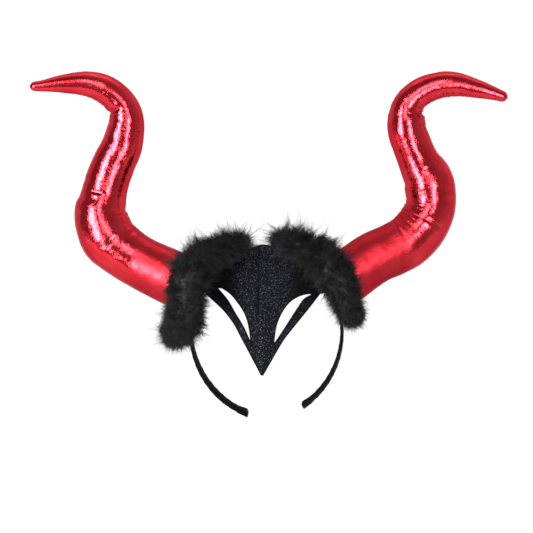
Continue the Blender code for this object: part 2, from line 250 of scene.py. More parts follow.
def glitterCloth():
    material, wires, shader = startMaterial("glitterCloth")
    place = wires.add("ShaderNodeTexCoord", out="Object")
    side = wires.split(place)
    low = side.output(2)
    flake = wires.add(
        "ShaderNodeTexVoronoi", {}, {"Vector": place, "Scale": glitterLook["flakes"]}, out="Color"
    )
    pick = wires.add("ShaderNodeSeparateColor", {}, {"Color": flake})
    patches = wires.noise(place, glitterLook["patchScale"], 3.0)
    # the sheet sparkles in its middle and towards its point, where it is lit; its wings stay plain black as
    # painted shade, and the sewn dart gets a darker line of painted crease shade
    fromMiddle = side + glitterLook["middle"]
    fromDart = side + glitterLook["dart"]
    # painted shade: outside the lit middle the sheet loses its sparkle and goes plain black
    sparkleOutOfShade = wires.fade(fromMiddle.maths("ABSOLUTE", fromMiddle), *glitterLook["shadedWingEdge"])
    sparkleOutOfShade = sparkleOutOfShade.maths("MAXIMUM", sparkleOutOfShade, wires.fade(low, *glitterLook["pointBelow"]))
    # painted crease shade: a darker line along the sewn dart
    dart = wires.fade(fromDart.maths("ABSOLUTE", fromDart), *glitterLook["dartEdge"])
    dart = dart * wires.fade(low, *glitterLook["dartAbove"])
    sparkleOutOfShade = sparkleOutOfShade * (1.0 - dart * glitterLook["dartShade"])
    bright = (pick > glitterLook["brightFrom"]) * sparkleOutOfShade
    middling = wires.fade(pick, 0.45, 0.95) * (0.4 + patches * 0.9) * sparkleOutOfShade
    colour = wires.blend(middling, glitterLook["black"], glitterLook["navy"])
    colour = wires.blend(bright, colour, glitterLook["silver"])
    rough = 0.7 - bright * 0.2
    tilt = wires.bump(pick.output(1), 0.5, 0.0002)
    finishMaterial(
        wires, shader,
        {"Base Color": colour, "Roughness": rough, "Metallic": bright * 0.5, "Normal": tilt},
        {"Specular IOR Level": 0.04},
    )
    return material


boundEdgeLook = {
    "dark": (0.0004, 0.0004, 0.0006, 1),
    "worn": (0.0018, 0.0018, 0.0024, 1),
    "grainScale": 1600.0,
}


def boundEdgeCloth():
    material, wires, shader = startMaterial("boundEdgeCloth")
    place = wires.add("ShaderNodeTexCoord", out="Object")
    grain = wires.noise(place, boundEdgeLook["grainScale"], 2.0)
    colour = wires.blend(grain, boundEdgeLook["dark"], boundEdgeLook["worn"])
    finishMaterial(
        wires, shader,
        {"Base Color": colour, "Roughness": 0.6 + grain * 0.2, "Normal": wires.bump(grain, 0.4, 0.0002)},
        {"Specular IOR Level": 0.05},
    )
    return material


satinLook = {
    "dark": (0.0005, 0.0005, 0.0006, 1),
    "worn": (0.0018, 0.0018, 0.0020, 1),
    "ribs": 5200.0,
    "ribSlant": 0.35,
    "grainScale": 600.0,
}


def blackSatin():
    material, wires, shader = startMaterial("blackSatin")
    place = wires.add("ShaderNodeTexCoord", out="Object")
    ribbon = wires.split(wires.add("ShaderNodeUVMap", {"uv_map": "ribbon"}))
    slanted = (ribbon + ribbon.output(1) * satinLook["ribSlant"]) * satinLook["ribs"]
    rib = slanted.maths("SINE", slanted)
    grain = wires.noise(place, satinLook["grainScale"], 3.0)
    colour = wires.blend(grain, satinLook["dark"], satinLook["worn"])
    bump = wires.bump(rib * 0.5 + grain * 0.5, 0.5, 0.0002)
    finishMaterial(
        wires, shader,
        {"Base Color": colour, "Roughness": 0.42 + grain * 0.16, "Normal": bump},
        {"Specular IOR Level": 0.03},
    )
    return material


furLook = {
    "dark": (0.0046, 0.0046, 0.0048, 1),
    "grey": (0.0080, 0.0082, 0.0086, 1),
    "tuftScale": 120.0,
    "hairScale": 900.0,
    "tuftShare": 0.7,
    "greyFrom": (0.36, 0.66),
}


def blackFur():
    material, wires, shader = startMaterial("blackFur")
    place = wires.add("ShaderNodeTexCoord", out="Object")
    tufts = wires.noise(place, furLook["tuftScale"], 2.0)
    fine = wires.noise(place, furLook["hairScale"], 1.0)
    mixed = tufts * furLook["tuftShare"] + fine * (1 - furLook["tuftShare"])
    colour = wires.blend(wires.fade(mixed, *furLook["greyFrom"]), furLook["dark"], furLook["grey"])
    finishMaterial(
        wires, shader,
        {"Base Color": colour, "Roughness": 0.5 + fine * 0.25},
        {"Specular IOR Level": 0.18},
    )
    return material


def paleFloor():
    material, wires, shader = startMaterial("paleFloor")
    finishMaterial(wires, shader, {}, {"Base Color": (0.80, 0.80, 0.80, 1), "Roughness": 0.9})
    return material


def keepPiece(name, mesh, material):
    piece = bpy.data.objects.new(name, mesh)
    bpy.context.scene.collection.objects.link(piece)
    mesh.materials.clear()
    mesh.materials.append(material)
    mesh.shade_smooth()
    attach(piece, "root")
    return piece


def turnOutwards(mesh):
    shape = bmesh.new()
    shape.from_mesh(mesh)
    if shape.calc_volume(signed=True) < 0:
        mesh.flip_normals()
    shape.free()


def meshFromRings(name, rings, closedAlong=False, uvs=None, uvName="ribbon"):
    rings = np.asarray(rings, float)
    count, sides = rings.shape[:2]
    verts = [tuple(p) for p in rings.reshape(-1, 3)]
    faces = []
    for i in range(count if closedAlong else count - 1):
        for j in range(sides):
            k, m = (i + 1) % count, (j + 1) % sides
            faces.append((i * sides + j, i * sides + m, k * sides + m, k * sides + j))
    if not closedAlong:
        faces.append(tuple(range(sides - 1, -1, -1)))
        faces.append(tuple((count - 1) * sides + j for j in range(sides)))
    mesh = bpy.data.meshes.new(name)
    mesh.from_pydata(verts, [], faces)
    turnOutwards(mesh)
    if uvs is not None:
        layer = mesh.uv_layers.new(name=uvName)
        for loop in mesh.loops:
            layer.data[loop.index].uv = uvs[loop.vertex_index]
    mesh.update()
    return mesh


def smoothPath(rows, count):
    points = np.array(rows, float)
    points = np.vstack([2 * points[0] - points[1], points, 2 * points[-1] - points[-2]])
    fine = []
    for before, start, end, after in zip(points, points[1:], points[2:], points[3:]):
        for t in np.arange(0, 1, 0.05):
            fine.append(
                start + 0.5 * t * (end - before)
                + t * t * (before - 2.5 * start + 2 * end - 0.5 * after)
                + t**3 * 0.5 * (after - before + 3 * (start - end))
            )
    fine = np.array([*fine, points[-2]])
    width = min(3, fine.shape[1])
    steps = np.linalg.norm(np.diff(fine[:, :width], axis=0), axis=1)
    along = np.concatenate([[0], np.cumsum(steps)])
    wanted = np.linspace(0, along[-1], count)
    return np.stack([np.interp(wanted, along, column) for column in fine.T], axis=1)


band = {
    "halfSpan": 60.4,
    "crownRise": 64.5,
    "lowerReach": 66.2,
    "slackLeft": 1.8,
    "slackRight": 1.0,
    "width": 7.6,
    "thickness": 2.5,
    "endWidth": 9.6,
    "endThickness": 3.4,
    "endLength": 9.0,
    "endTwist": 28.0,
    "startTurn": -60.5,
    "endTurn": 255.0,
    "ribbonTurn": 7.0,
    "ribbonLap": 0.22,
    "ribbonSkew": 2.2,
    "squareness": 0.45,
    "flarePower": 0.6,
    "twistStart": 0.25,
    "slant": 1.2,
    "slantLength": 4.0,
    "sections": 620,
    "sides": 28,
}


def bandPlace(turn, lift=0.0):
    angle = math.radians(turn)
    rise = band["crownRise"] if math.sin(angle) >= 0 else band["lowerReach"]
    outward = Vector((math.cos(angle) / band["halfSpan"], 0, math.sin(angle) / rise)).normalized()
    centreZ = band["thickness"] / 2 + 0.05 - band["crownRise"]
    middle = Vector((band["halfSpan"] * math.cos(angle), 0, centreZ + rise * math.sin(angle)))
    if math.sin(angle) < 0:
        slack = band["slackRight"] if math.cos(angle) > 0 else band["slackLeft"]
        lift -= slack * abs(math.sin(2 * angle))
    return middle + outward * lift, outward


horns = {
    "sections": 300,
    "sides": 112,
    "depthRatio": 0.96,
    "seamRidge": 0.55,
    "pucker": 0.12,
    "innerShare": 2.4,
    "seamShare": 0.35,
    "fullBend": 0.25,
    "tipCap": 4.0,
    "leastTip": 0.12,
    # half widths in degrees of the seam's ridge and of the cloth that its stitches pull in
    "seamWidth": 7,
    "stitchWidth": 16,
    # in radians, and the waves and drifts for each millimetre along the horn
    "rippleWave": 1.15,
    "rippleDrift": 0.31,
    "rippleSwing": 1.3,
    "stitchWave": 1.9,
    "stitchDrift": 0.53,
    "phaseSpan": 6.28,
    # how high a fold's shoulders are, then where they and its end lie, in its half lengths
    "foldShoulder": 0.35,
    "shoulderAt": 1.9,
    "foldEnd": 4,
    # how closely the lumps lie and how far they stand out
    "bigLumps": (0.055, 0.4),
    "smallLumps": (0.16, 0.16),
    "smallLumpsFrom": (9, 3, 5),
    "seeds": {"left": 11, "right": 23},
    "fill": 0.9,
    "start": 5.8,
    "leanBack": 12.0,
    "rootTurn": {"left": 148.0, "right": 33.5},
    "rise": {"left": 155.0, "right": 29.4},
    # x, y, z of the centre and the radius, all in millimetres
    "left": (
        (-78.8, 6.6, -16.8, 21.6), (-101.6, 10.5, -5.6, 20.6), (-116.0, 12.6, 3.6, 21.1),
        (-127.0, 14.2, 13.4, 22.2), (-132.4, 15.2, 26.4, 21.6), (-133.8, 15.6, 36.0, 20.4),
        (-132.4, 15.6, 42.4, 19.0), (-131.2, 15.5, 48.8, 17.9), (-127.6, 15.0, 61.6, 17.2),
        (-122.8, 14.2, 74.4, 16.8), (-116.8, 13.0, 87.2, 16.0), (-113.6, 11.6, 100.0, 14.8),
        (-112.8, 10.8, 108.0, 13.8), (-114.0, 9.8, 116.8, 12.5), (-120.0, 8.4, 125.6, 11.8),
        (-129.6, 7.2, 132.8, 11.2), (-139.2, 6.0, 136.4, 10.2), (-149.6, 4.8, 137.7, 9.0),
        (-165.6, 3.0, 137.0, 6.6), (-177.6, 1.2, 135.6, 4.6),
        (-184.8, 0.2, 135.0, 3.8), (-189.4, 0.0, 134.8, 3.4),
    ),
    "right": (
        (82.4, 6.6, -4.8, 20.8), (102.4, 10.2, 4.8, 20.7), (115.0, 12.4, 12.4, 20.8),
        (125.0, 14.4, 23.2, 20.7), (131.4, 15.4, 36.0, 19.8), (132.6, 15.6, 45.6, 19.7),
        (131.6, 15.4, 55.2, 20.1), (129.4, 14.9, 63.2, 19.2), (123.2, 13.9, 74.4, 16.4),
        (117.8, 12.6, 87.2, 15.4), (113.6, 11.4, 98.4, 15.1), (112.4, 10.4, 108.0, 14.7),
        (113.0, 9.6, 116.8, 12.9), (117.2, 8.4, 125.2, 11.5), (126.4, 7.2, 132.0, 10.9),
        (137.3, 6.0, 135.8, 10.2), (146.4, 5.0, 137.0, 9.8), (156.0, 4.0, 136.2, 8.9),
        (168.8, 2.4, 133.1, 7.1), (180.0, 1.0, 129.9, 5.4), (188.0, 0.2, 127.2, 4.3),
        (192.9, 0.0, 125.8, 3.7),
    ),
    # x and z on the front face, depth, half length along the horn, half width round it in degrees
    "foldsLeft": (
        (-126.0, 114.5, 1.5, 2.6, 34.0), (-121.5, 117.0, 0.8, 2.0, 22.0), (-121.5, 109.0, 0.5, 1.8, 26.0),
        (-135.2, 50.4, 0.7, 1.5, 20.0), (-131.5, 5.5, 0.3, 2.2, 20.0), (-122.0, 9.5, 0.4, 2.2, 16.0),
        (-114.0, 40.0, 0.5, 1.6, 22.0), (-114.0, 32.0, 0.6, 1.6, 24.0), (-111.0, 25.0, 0.5, 1.6, 22.0),
        (-153.0, 34.0, 0.8, 1.4, 14.0), (-106.0, 18.0, 0.4, 1.8, 20.0), (-146.0, 60.0, 0.4, 1.8, 16.0),
    ),
    "foldsRight": (
        (124.5, 114.0, 1.4, 2.6, 34.0), (123.0, 106.0, 0.6, 2.0, 26.0), (119.0, 118.0, 0.6, 2.0, 24.0),
        (97.5, 116.8, 0.9, 1.4, 14.0), (149.0, 46.0, 0.6, 1.6, 18.0), (149.5, 54.0, 0.6, 1.6, 18.0),
        (112.0, 42.0, 0.5, 1.6, 22.0), (112.0, 34.0, 0.6, 1.6, 24.0), (109.0, 26.0, 0.5, 1.6, 22.0),
        (131.0, 24.0, 0.7, 1.6, 22.0), (104.0, 20.0, 0.4, 1.8, 20.0), (128.0, 70.0, 0.4, 1.8, 16.0),
    ),
}


def rootFrame(side):
    origin, _ = bandPlace(horns["rootTurn"][side])
    rise, lean = math.radians(horns["rise"][side]), math.radians(horns["leanBack"])
    along = Vector((math.cos(rise), 0, math.sin(rise))) * math.cos(lean) + Vector((0, math.sin(lean), 0))
    front = (Vector((0, -1, 0)) + along * along.y).normalized()
    up = along.cross(front)
    return origin, along, front, up if up.z > 0 else -up


def makeBand():
    count, sides = band["sections"], band["sides"]
    middle = (band["startTurn"] + band["endTurn"]) / 2
    turns = np.linspace(band["startTurn"], band["endTurn"], count)
    centres = [bandPlace(t)[0] for t in turns]
    lengths = np.concatenate([[0], np.cumsum([(b - a).length for a, b in zip(centres, centres[1:])])])
    total = lengths[-1]
    rings, uvs = [], []
    for i, turn in enumerate(turns):
        centre, outward = bandPlace(turn)
        fromEnd = min(lengths[i], total - lengths[i])
        flare = max(0.0, 1 - fromEnd / band["endLength"]) ** band["flarePower"]
        width = band["width"] + (band["endWidth"] - band["width"]) * flare
        thick = band["thickness"] + (band["endThickness"] - band["thickness"]) * flare
        below = min(1.0, max(0.0, -math.sin(math.radians(turn)) + band["twistStart"]))
        twist = math.copysign(math.radians(band["endTwist"]) * below, math.cos(math.radians(turn)))
        along = outward.cross(Vector((0, 1, 0)))
        across = Vector((0, 1, 0)) * math.cos(twist) + outward * math.sin(twist)
        lifted = outward * math.cos(twist) - Vector((0, 1, 0)) * math.sin(twist)
        ring = []
        for j in range(sides):
            a = 2 * math.pi * j / sides
            x = math.copysign(abs(math.cos(a)) ** band["squareness"], math.cos(a))
            y = math.copysign(abs(math.sin(a)) ** band["squareness"], math.sin(a))
            lap = ((lengths[i] + x * band["ribbonSkew"]) / band["ribbonTurn"]) % 1.0
            grow = band["ribbonLap"] * (1 - lap) ** 3
            slant = 0.0
            if fromEnd < band["slantLength"]:
                share = 1 - fromEnd / band["slantLength"]
                slant = -y * band["slant"] * share * (1 if turn < middle else -1)
            ring.append(
                (centre + across * x * (width / 2 + grow) + lifted * y * (thick / 2 + grow) + along * slant)
                * millimetre
            )
            uvs.append((lengths[i] * millimetre, x * width / 2 * millimetre))
        rings.append(ring)
    mesh = meshFromRings("satinBand", rings, uvs=uvs)
    piece = keepPiece("satinBand", mesh, satin)
    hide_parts("headband")


def hornRows(side):
    origin, along, _, _ = rootFrame(side)
    start = origin + along * horns["start"]
    first = horns[side][0]
    return [(*start, first[3]), *horns[side]], along


def hornFrames(centres, rootAlong, sign):
    frames = []
    last = len(centres) - 1
    for i in range(len(centres)):
        heading = Vector(centres[min(i + 3, last)] - centres[max(i - 3, 0)]).normalized()
        if i < 3:
            heading = heading.lerp(rootAlong, 1 - i / 3).normalized()
        deep = (Vector((0, -1, 0)) + heading * heading.y).normalized()
        frames.append((heading, deep, heading.cross(deep) * sign))
    return frames


def hornFolds(side, centres, radii, frames, step):
    folds = []
    for x, z, depth, halfLong, halfRound in horns["folds" + side.capitalize()]:
        at = int(np.argmin(np.hypot(centres[:, 0] - x, centres[:, 2] - z)))
        offset = (Vector((x, centres[at][1], z)) - Vector(centres[at])).dot(frames[at][2]) / radii[at]
        turn = math.degrees(math.acos(max(-1.0, min(1.0, offset))))
        folds.append((at * step, turn, depth, halfLong, halfRound))
    return folds


def foldShift(folds, at, degrees):
    shift = 0.0
    front = degrees if degrees <= 180 else degrees - 360
    for where, turn, depth, halfLong, halfRound in folds:
        offAlong = (at - where) / halfLong
        if abs(offAlong) <= horns["foldEnd"]:
            offRound = (front - turn) / halfRound
            offShoulder = abs(offAlong) - horns["shoulderAt"]
            shift -= depth * math.exp(-offAlong**2 - offRound**2)
            shift += horns["foldShoulder"] * depth * math.exp(-(offShoulder**2) - offRound**2)
    return shift


def makeHorn(side):
    rows, rootAlong = hornRows(side)
    samples = smoothPath(rows, horns["sections"])
    centres, radii = samples[:, :3], samples[:, 3]
    total = float(np.sum(np.linalg.norm(np.diff(centres, axis=0), axis=1)))
    step = total / (horns["sections"] - 1)
    frames = hornFrames(centres, rootAlong, 1 if side == "right" else -1)
    folds = hornFolds(side, centres, radii, frames, step)
    chance = random.Random(horns["seeds"][side])
    phases = [chance.uniform(0, horns["phaseSpan"]) for _ in range(4)]
    bigScale, bigDepth = horns["bigLumps"]
    smallScale, smallDepth = horns["smallLumps"]
    smallFrom = Vector(horns["smallLumpsFrom"])
    rings, uvs = [], []
    for i, (heading, deep, sideways) in enumerate(frames):
        at = i * step
        ahead, behind = frames[min(i + 6, len(frames) - 1)][0], frames[max(i - 6, 0)][0]
        bend = (ahead - behind).dot(sideways) / horns["fullBend"]
        toTip = min(1.0, (total - at) / horns["tipCap"])
        radius = radii[i] * max(horns["leastTip"], math.sqrt(1 - (1 - toTip) ** 2))
        drift = horns["rippleSwing"] * math.sin(at * horns["rippleDrift"] + phases[1])
        ripple = 0.5 + 0.5 * math.sin(at * horns["rippleWave"] + phases[0] + drift)
        drift = math.sin(at * horns["stitchDrift"] + phases[3])
        stitchPull = 0.5 + 0.5 * math.sin(at * horns["stitchWave"] + phases[2] + drift)
        ring = []
        for j in range(horns["sides"]):
            angle = 2 * math.pi * j / horns["sides"]
            degrees = math.degrees(angle)
            seam = (degrees + 90) % 180 - 90
            ridge = math.exp(-((seam / horns["seamWidth"]) ** 2)) * min(1, radius / 10)
            pulled = math.exp(-((seam / horns["stitchWidth"]) ** 2)) * stitchPull
            inside = min(1.0, max(0.0, bend * math.cos(angle)))
            reach = radius + horns["seamRidge"] * ridge
            reach -= horns["pucker"] * horns["innerShare"] * inside * ripple
            reach -= horns["pucker"] * horns["seamShare"] * pulled
            reach += foldShift(folds, at, degrees)
            spot = Vector(centres[i]) + sideways * math.cos(angle) * reach
            spot += deep * math.sin(angle) * reach * horns["depthRatio"]
            lumps = noise.noise(spot * bigScale) * bigDepth
            lumps += noise.noise(spot * smallScale + smallFrom) * smallDepth
            push = (spot - Vector(centres[i])).normalized() * lumps * min(1, radius / 12)
            ring.append((spot + push) * millimetre)
            uvs.append((at * millimetre, min(angle, 2 * math.pi - angle) * radius * millimetre))
        rings.append(ring)
    piece = keepPiece(f"foilHorn_{side}", meshFromRings("foilHorn", rings, uvs=uvs, uvName="cloth"), foil)
    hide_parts(f"horn_{side}")


fur = {
    "rings": 150,
    "sides": 20,
    "coreShare": 0.80,
    "coats": (
        {"name": "undercoat", "tufts": 1500, "length": 8.5, "width": 0.34, "spread": 2.3,
         "bend": 0.35, "stray": 0.25, "gather": 0.45},
        {"name": "overcoat", "tufts": 1400, "length": 12.5, "width": 0.26, "spread": 1.9,
         "bend": 0.38, "stray": 0.28, "gather": 0.86},
        {"name": "wisps", "tufts": 460, "length": 17.0, "width": 0.17, "spread": 1.5,
         "bend": 0.45, "stray": 0.60, "gather": 0.72},
    ),
    "quickShare": 0.3,
    "coreLumps": 0.12,
    "coreLumpScale": 0.11,
    "strandsInTuft": 18,
    "strandTaper": 0.9,
    "strandBow": 0.12,
    "strandSizes": (0.6, 1.05),
    "tuftSizes": (0.6, 1.2),
    "tuftFlat": 0.25,
    "bendDrop": 0.25,
    "droop": 0.16,
    # the tufts are shorter low down, between these heights in metres
    "lowScale": 0.82,
    "highScale": 1.22,
    "scaleHeights": (-0.035, 0.012),
    "clump": 1.15,
    "clumpScale": 70.0,
    "clumpDetail": 1.5,
    # turn round the horn's axis in degrees, then reach from it, shift along it and radius of the core
    "left": (
        (0, 35.5, 4.6, 16.2), (45, 35.5, 4.5, 12.6), (90, 48.4, -12.5, 5.0), (135, 35.0, 9.0, 9.8),
        (180, 30.5, 19.0, 9.6), (225, 33.5, 15.0, 11.0), (270, 40.6, 6.5, 10.0), (315, 38.5, -5.0, 14.2),
    ),
    "right": (
        (0, 34.5, 1.0, 15.2), (45, 39.0, 0.5, 13.6), (90, 54.0, -14.5, 5.6), (135, 36.5, 5.0, 9.8),
        (180, 30.5, 15.0, 9.6), (225, 31.0, 12.0, 9.4), (270, 27.6, 6.6, 5.2), (315, 33.0, -0.5, 9.4),
    ),
}


def loopAt(table, turn):
    step = 360 / len(table)
    first = int(turn // step)
    t = turn / step - first
    rows = [np.array(table[(first + k) % len(table)][1:], float) for k in (-1, 0, 1, 2)]
    before, start, end, after = rows
    return (
        start + 0.5 * t * (end - before)
        + t * t * (before - 2.5 * start + 2 * end - 0.5 * after)
        + t**3 * 0.5 * (after - before + 3 * (start - end))
    )


def furCore(side):
    origin, along, front, up = rootFrame(side)
    line, outs, radii = [], [], []
    for i in range(fur["rings"]):
        turn = 360 * i / fur["rings"]
        reach, shift, radius = loopAt(fur[side], turn)
        outward = front * math.cos(math.radians(turn)) + up * math.sin(math.radians(turn))
        outs.append(outward)
        line.append(origin + along * shift + outward * reach)
        radii.append(radius * fur["coreShare"])
    rings = []
    for i, centre in enumerate(line):
        heading = (line[(i + 1) % fur["rings"]] - line[i - 1]).normalized()
        away = (outs[i] - heading * outs[i].dot(heading)).normalized()
        beside = heading.cross(away)
        ring = []
        for j in range(fur["sides"]):
            angle = 2 * math.pi * j / fur["sides"]
            lump = fur["coreLumps"] * noise.noise(centre * fur["coreLumpScale"] + Vector((angle, 0, 0)))
            turned = away * math.cos(angle) + beside * math.sin(angle)
            ring.append((centre + turned * (radii[i] * (1 + lump))) * millimetre)
        rings.append(ring)
    return meshFromRings("furCore", rings, closedAlong=True)


def tuftNodes(wires, given):
    strand = wires.add(
        "GeometryNodeMeshGrid", {},
        {"Size X": given["Width"], "Size Y": 1.0, "Vertices X": 2, "Vertices Y": 4},
    )
    spot = wires.split(wires.add("GeometryNodeInputPosition"))
    rise = spot.output(1) + 0.5
    bowed = rise * (1.0 - rise) * given["Length"] * fur["strandBow"]
    tapered = wires.join(spot * (1.0 - rise * fur["strandTaper"]), bowed, rise * given["Length"])
    strand = wires.add("GeometryNodeSetPosition", {}, {"Geometry": strand, "Position": tapered})
    flat = fur["tuftFlat"]
    places = wires.random(given["Seed"] + 11, (-1.0, -1.0, -flat), (1.0, 1.0, flat))
    places = wires.lengthen(places, given["Spread"])
    roots = wires.add("GeometryNodePoints", {}, {"Count": given["Strands"], "Position": places})
    twirl = wires.random(given["Seed"] + 13, 0.0, fullTurn)
    twirl = wires.add("FunctionNodeAxisAngleToRotation", {}, {"Axis": (0.0, 0.0, 1.0), "Angle": twirl})
    uneven = wires.random(given["Seed"] + 17, *fur["strandSizes"])
    tuft = wires.add(
        "GeometryNodeInstanceOnPoints", {},
        {"Points": roots, "Instance": strand, "Rotation": twirl, "Scale": uneven},
    )
    tuft = wires.add("GeometryNodeRealizeInstances", {}, {"Geometry": tuft})
    # the strands lean together towards their tips and bend over to one side
    here = wires.split(wires.add("GeometryNodeInputPosition"))
    hereY, hereZ = here.output(1), here.output(2)
    climb = hereZ / given["Length"]
    drawn = 1.0 - climb * given["Gather"]
    swept = climb * climb * given["Bend"] * given["Length"]
    lowered = 1.0 - climb * given["Bend"] * fur["bendDrop"]
    gathered = wires.join(here * drawn + swept, hereY * drawn, hereZ * lowered)
    return wires.add("GeometryNodeSetPosition", {}, {"Geometry": tuft, "Position": gathered})


def strandNodes():
    tree = bpy.data.node_groups.new("furStrands", "GeometryNodeTree")
    for name, kind in (
        ("Geometry", "NodeSocketGeometry"), ("Density", "NodeSocketFloat"), ("Length", "NodeSocketFloat"),
        ("Width", "NodeSocketFloat"), ("Spread", "NodeSocketFloat"), ("Bend", "NodeSocketFloat"),
        ("Strands", "NodeSocketInt"), ("Gather", "NodeSocketFloat"), ("Stray", "NodeSocketFloat"),
        ("Clump", "NodeSocketFloat"), ("Seed", "NodeSocketInt"), ("Material", "NodeSocketMaterial"),
    ):
        tree.interface.new_socket(name, in_out="INPUT", socket_type=kind)
    tree.interface.new_socket("Geometry", in_out="OUTPUT", socket_type="NodeSocketGeometry")
    wires = Wiring(tree)
    entry = tree.nodes.new("NodeGroupInput")
    given = {socket.name: Signal(tree, socket) for socket in entry.outputs if socket.name}
    tuft = tuftNodes(wires, given)
    points = wires.add(
        "GeometryNodeDistributePointsOnFaces", {"distribute_method": "RANDOM"},
        {"Mesh": given["Geometry"], "Density": given["Density"], "Seed": given["Seed"]},
    )
    # each tuft leans with its neighbours, strays a little and droops
    spot = wires.add("GeometryNodeInputPosition")
    clump = wires.noise(spot, fur["clumpScale"], fur["clumpDetail"]).output("Color")
    clump = wires.lengthen(wires.vectors("SUBTRACT", clump, (0.5, 0.5, 0.5)), given["Clump"] * 2.0)
    stray = wires.random(given["Seed"] + 3, (-1.0, -1.0, -1.0), (1.0, 1.0, 1.0))
    stray = wires.lengthen(stray, given["Stray"])
    lean = wires.vectors("ADD", wires.vectors("ADD", points.output("Normal"), clump), stray)
    lean = wires.vectors("ADD", lean, (0.0, 0.0, -fur["droop"]))
    turned = wires.add("FunctionNodeAlignRotationToVector", {"axis": "Z"}, {"Vector": lean})
    spin = wires.random(given["Seed"] + 5, 0.0, fullTurn)
    spin = wires.add("FunctionNodeAxisAngleToRotation", {}, {"Axis": (0.0, 0.0, 1.0), "Angle": spin})
    turned = wires.add(
        "FunctionNodeRotateRotation", {"rotation_space": "LOCAL"}, {"Rotation": turned, "Rotate By": spin}
    )
    size = wires.random(given["Seed"] + 7, *fur["tuftSizes"])
    height = wires.split(spot).output(2)
    size = size * wires.fade(height, *fur["scaleHeights"], fur["lowScale"], fur["highScale"])
    placed = wires.add(
        "GeometryNodeInstanceOnPoints", {},
        {"Points": points, "Instance": tuft, "Rotation": turned, "Scale": size},
    )
    real = wires.add("GeometryNodeRealizeInstances", {}, {"Geometry": placed})
    dressed = wires.add("GeometryNodeSetMaterial", {}, {"Geometry": real, "Material": given["Material"]})
    tree.links.new(dressed.socket, tree.nodes.new("NodeGroupOutput").inputs[0])
    return tree


def growCoat(side, core, coat, seed, tree):
    piece = bpy.data.objects.new(f"fur_{coat['name']}_{side}", core.copy())
    bpy.context.scene.collection.objects.link(piece)
    area = sum(face.area for face in core.polygons)
    tufts = coat["tufts"] * 1.0
    modifier = piece.modifiers.new("strands", "NODES")
    modifier.node_group = tree
    values = {
        "Density": tufts / area, "Length": coat["length"] * millimetre, "Width": coat["width"] * millimetre,
        "Spread": coat["spread"] * millimetre, "Bend": coat["bend"], "Stray": coat["stray"],
        "Strands": fur["strandsInTuft"], "Gather": coat["gather"], "Clump": fur["clump"], "Seed": seed,
        "Material": pile,
    }
    for item in tree.interface.items_tree:
        if item.in_out == "INPUT" and item.name in values:
            modifier[item.identifier] = values[item.name]
    bpy.context.view_layer.update()
    depsgraph = bpy.context.evaluated_depsgraph_get()
    mesh = bpy.data.meshes.new_from_object(piece.evaluated_get(depsgraph))
    piece.modifiers.clear()
    piece.data = mesh
    if not mesh.materials:
        mesh.materials.append(pile)
    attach(piece, "root")
    return piece


def makeFur(side):
    core = furCore(side)
    base = keepPiece(f"fur_core_{side}", core, pile)
    tree = strandNodes()
    made = [base]
    for number, coat in enumerate(fur["coats"]):
        made.append(growCoat(side, core, coat, 10 * number + (1 if side == "left" else 2), tree))
    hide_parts(f"fur_collar_{side}")
    print("fur", side, [len(piece.data.polygons) for piece in made])


peak = {
    "centre": -3.0,
    "thickness": 1.7,
    "foldLift": 3.1,
    "frontY": -5.25,
    "backY": 4.2,
    "forward": 17.0,
    "reach": 56.0,
    "roundness": 1.7,
    "dartX": -6.2,
    "dartDepth": 1.5,
    "dartWidth": 1.2,
    "dartEnd": -56.0,
    "dartFade": 12,
    "domeRise": 3.4,
    "domeTurn": 93.0,
    "domeWidth": 9.0,
    "notchTurn": 96.5,
    "notchDepth": 0.8,
    "notchWidth": 0.9,
    "flat": (0.105, 0.112),
    "bindingSides": 10,
    "bindingRings": 150,
    "bindingProud": 0.35,
    "tip": (-3.5, -95.6),
    "tipBlunt": 0.985,
    # how far the back edge hangs, the rounding at the front edge and the fold's lower end
    "hem": 0.9,
    "foldEdge": ((0.25, 0.7), (0.7, 0.25), (1.4, 0.0)),
    "edgeRadius": 1.4,
    "foldDrop": 2.2,
    "foldFoot": -2.6,
    "sharpTurn": 50,
    "slotRows": 60,
    "wingRows": 12,
    "tipRows": 26,
    "centreColumns": 44,
    "armColumns": 8,
    "binding": 0.75,
    "topTurns": (148.0, 139.0, 133.0, 46.0, 40.0, 33.0),
    # x and z of each edge from the wing to the foot of the slots
    "edges": (
        ((-45.6, -32.8), (-33.6, -44.0), (-25.6, -54.4), (-21.2, -62.4), (-17.8, -68.8), (-16.0, -72.0)),
        ((-40.0, -25.6), (-31.2, -36.0), (-25.6, -45.6), (-19.2, -56.0), (-14.6, -65.6), (-11.8, -72.0)),
        ((-36.0, -25.6), (-28.8, -30.4), (-23.2, -36.8), (-17.8, -44.8), (-14.6, -52.8), (-12.8, -62.4),
         (-11.8, -72.0)),
        ((36.0, -30.4), (29.6, -31.2), (23.4, -33.6), (17.0, -38.4), (11.4, -46.4), (7.5, -56.0),
         (5.9, -65.6), (5.4, -72.0)),
        ((36.8, -31.7), (30.4, -35.2), (25.6, -41.6), (15.2, -57.6), (9.6, -66.0), (5.4, -72.0)),
        ((42.4, -30.4), (34.4, -40.8), (20.0, -58.4), (14.0, -66.0), (10.1, -72.0)),
    ),
}


def peakDepth(x, z):
    hang = min(1.0, max(0.0, z / peak["tip"][1]))
    near = max(0.0, 1 - (abs(x - peak["centre"]) / peak["reach"]) ** peak["roundness"])
    forward = peak["forward"] * math.sin(hang * math.pi / 2) * near
    fade = min(1.0, max(0.0, (z - peak["dartEnd"]) / peak["dartFade"]))
    dart = peak["dartDepth"] * fade * math.exp(-(((x - peak["dartX"]) / peak["dartWidth"]) ** 2))
    return peak["frontY"] - forward + dart


def spread(first, last, count):
    return [first + (last - first) * i / count for i in range(count + 1)]


def peakRow(corners):
    arm, body = peak["armColumns"], peak["centreColumns"]
    return [
        spread(corners[0], corners[1], arm), spread(corners[2], corners[3], body),
        spread(corners[4], corners[5], arm),
    ]


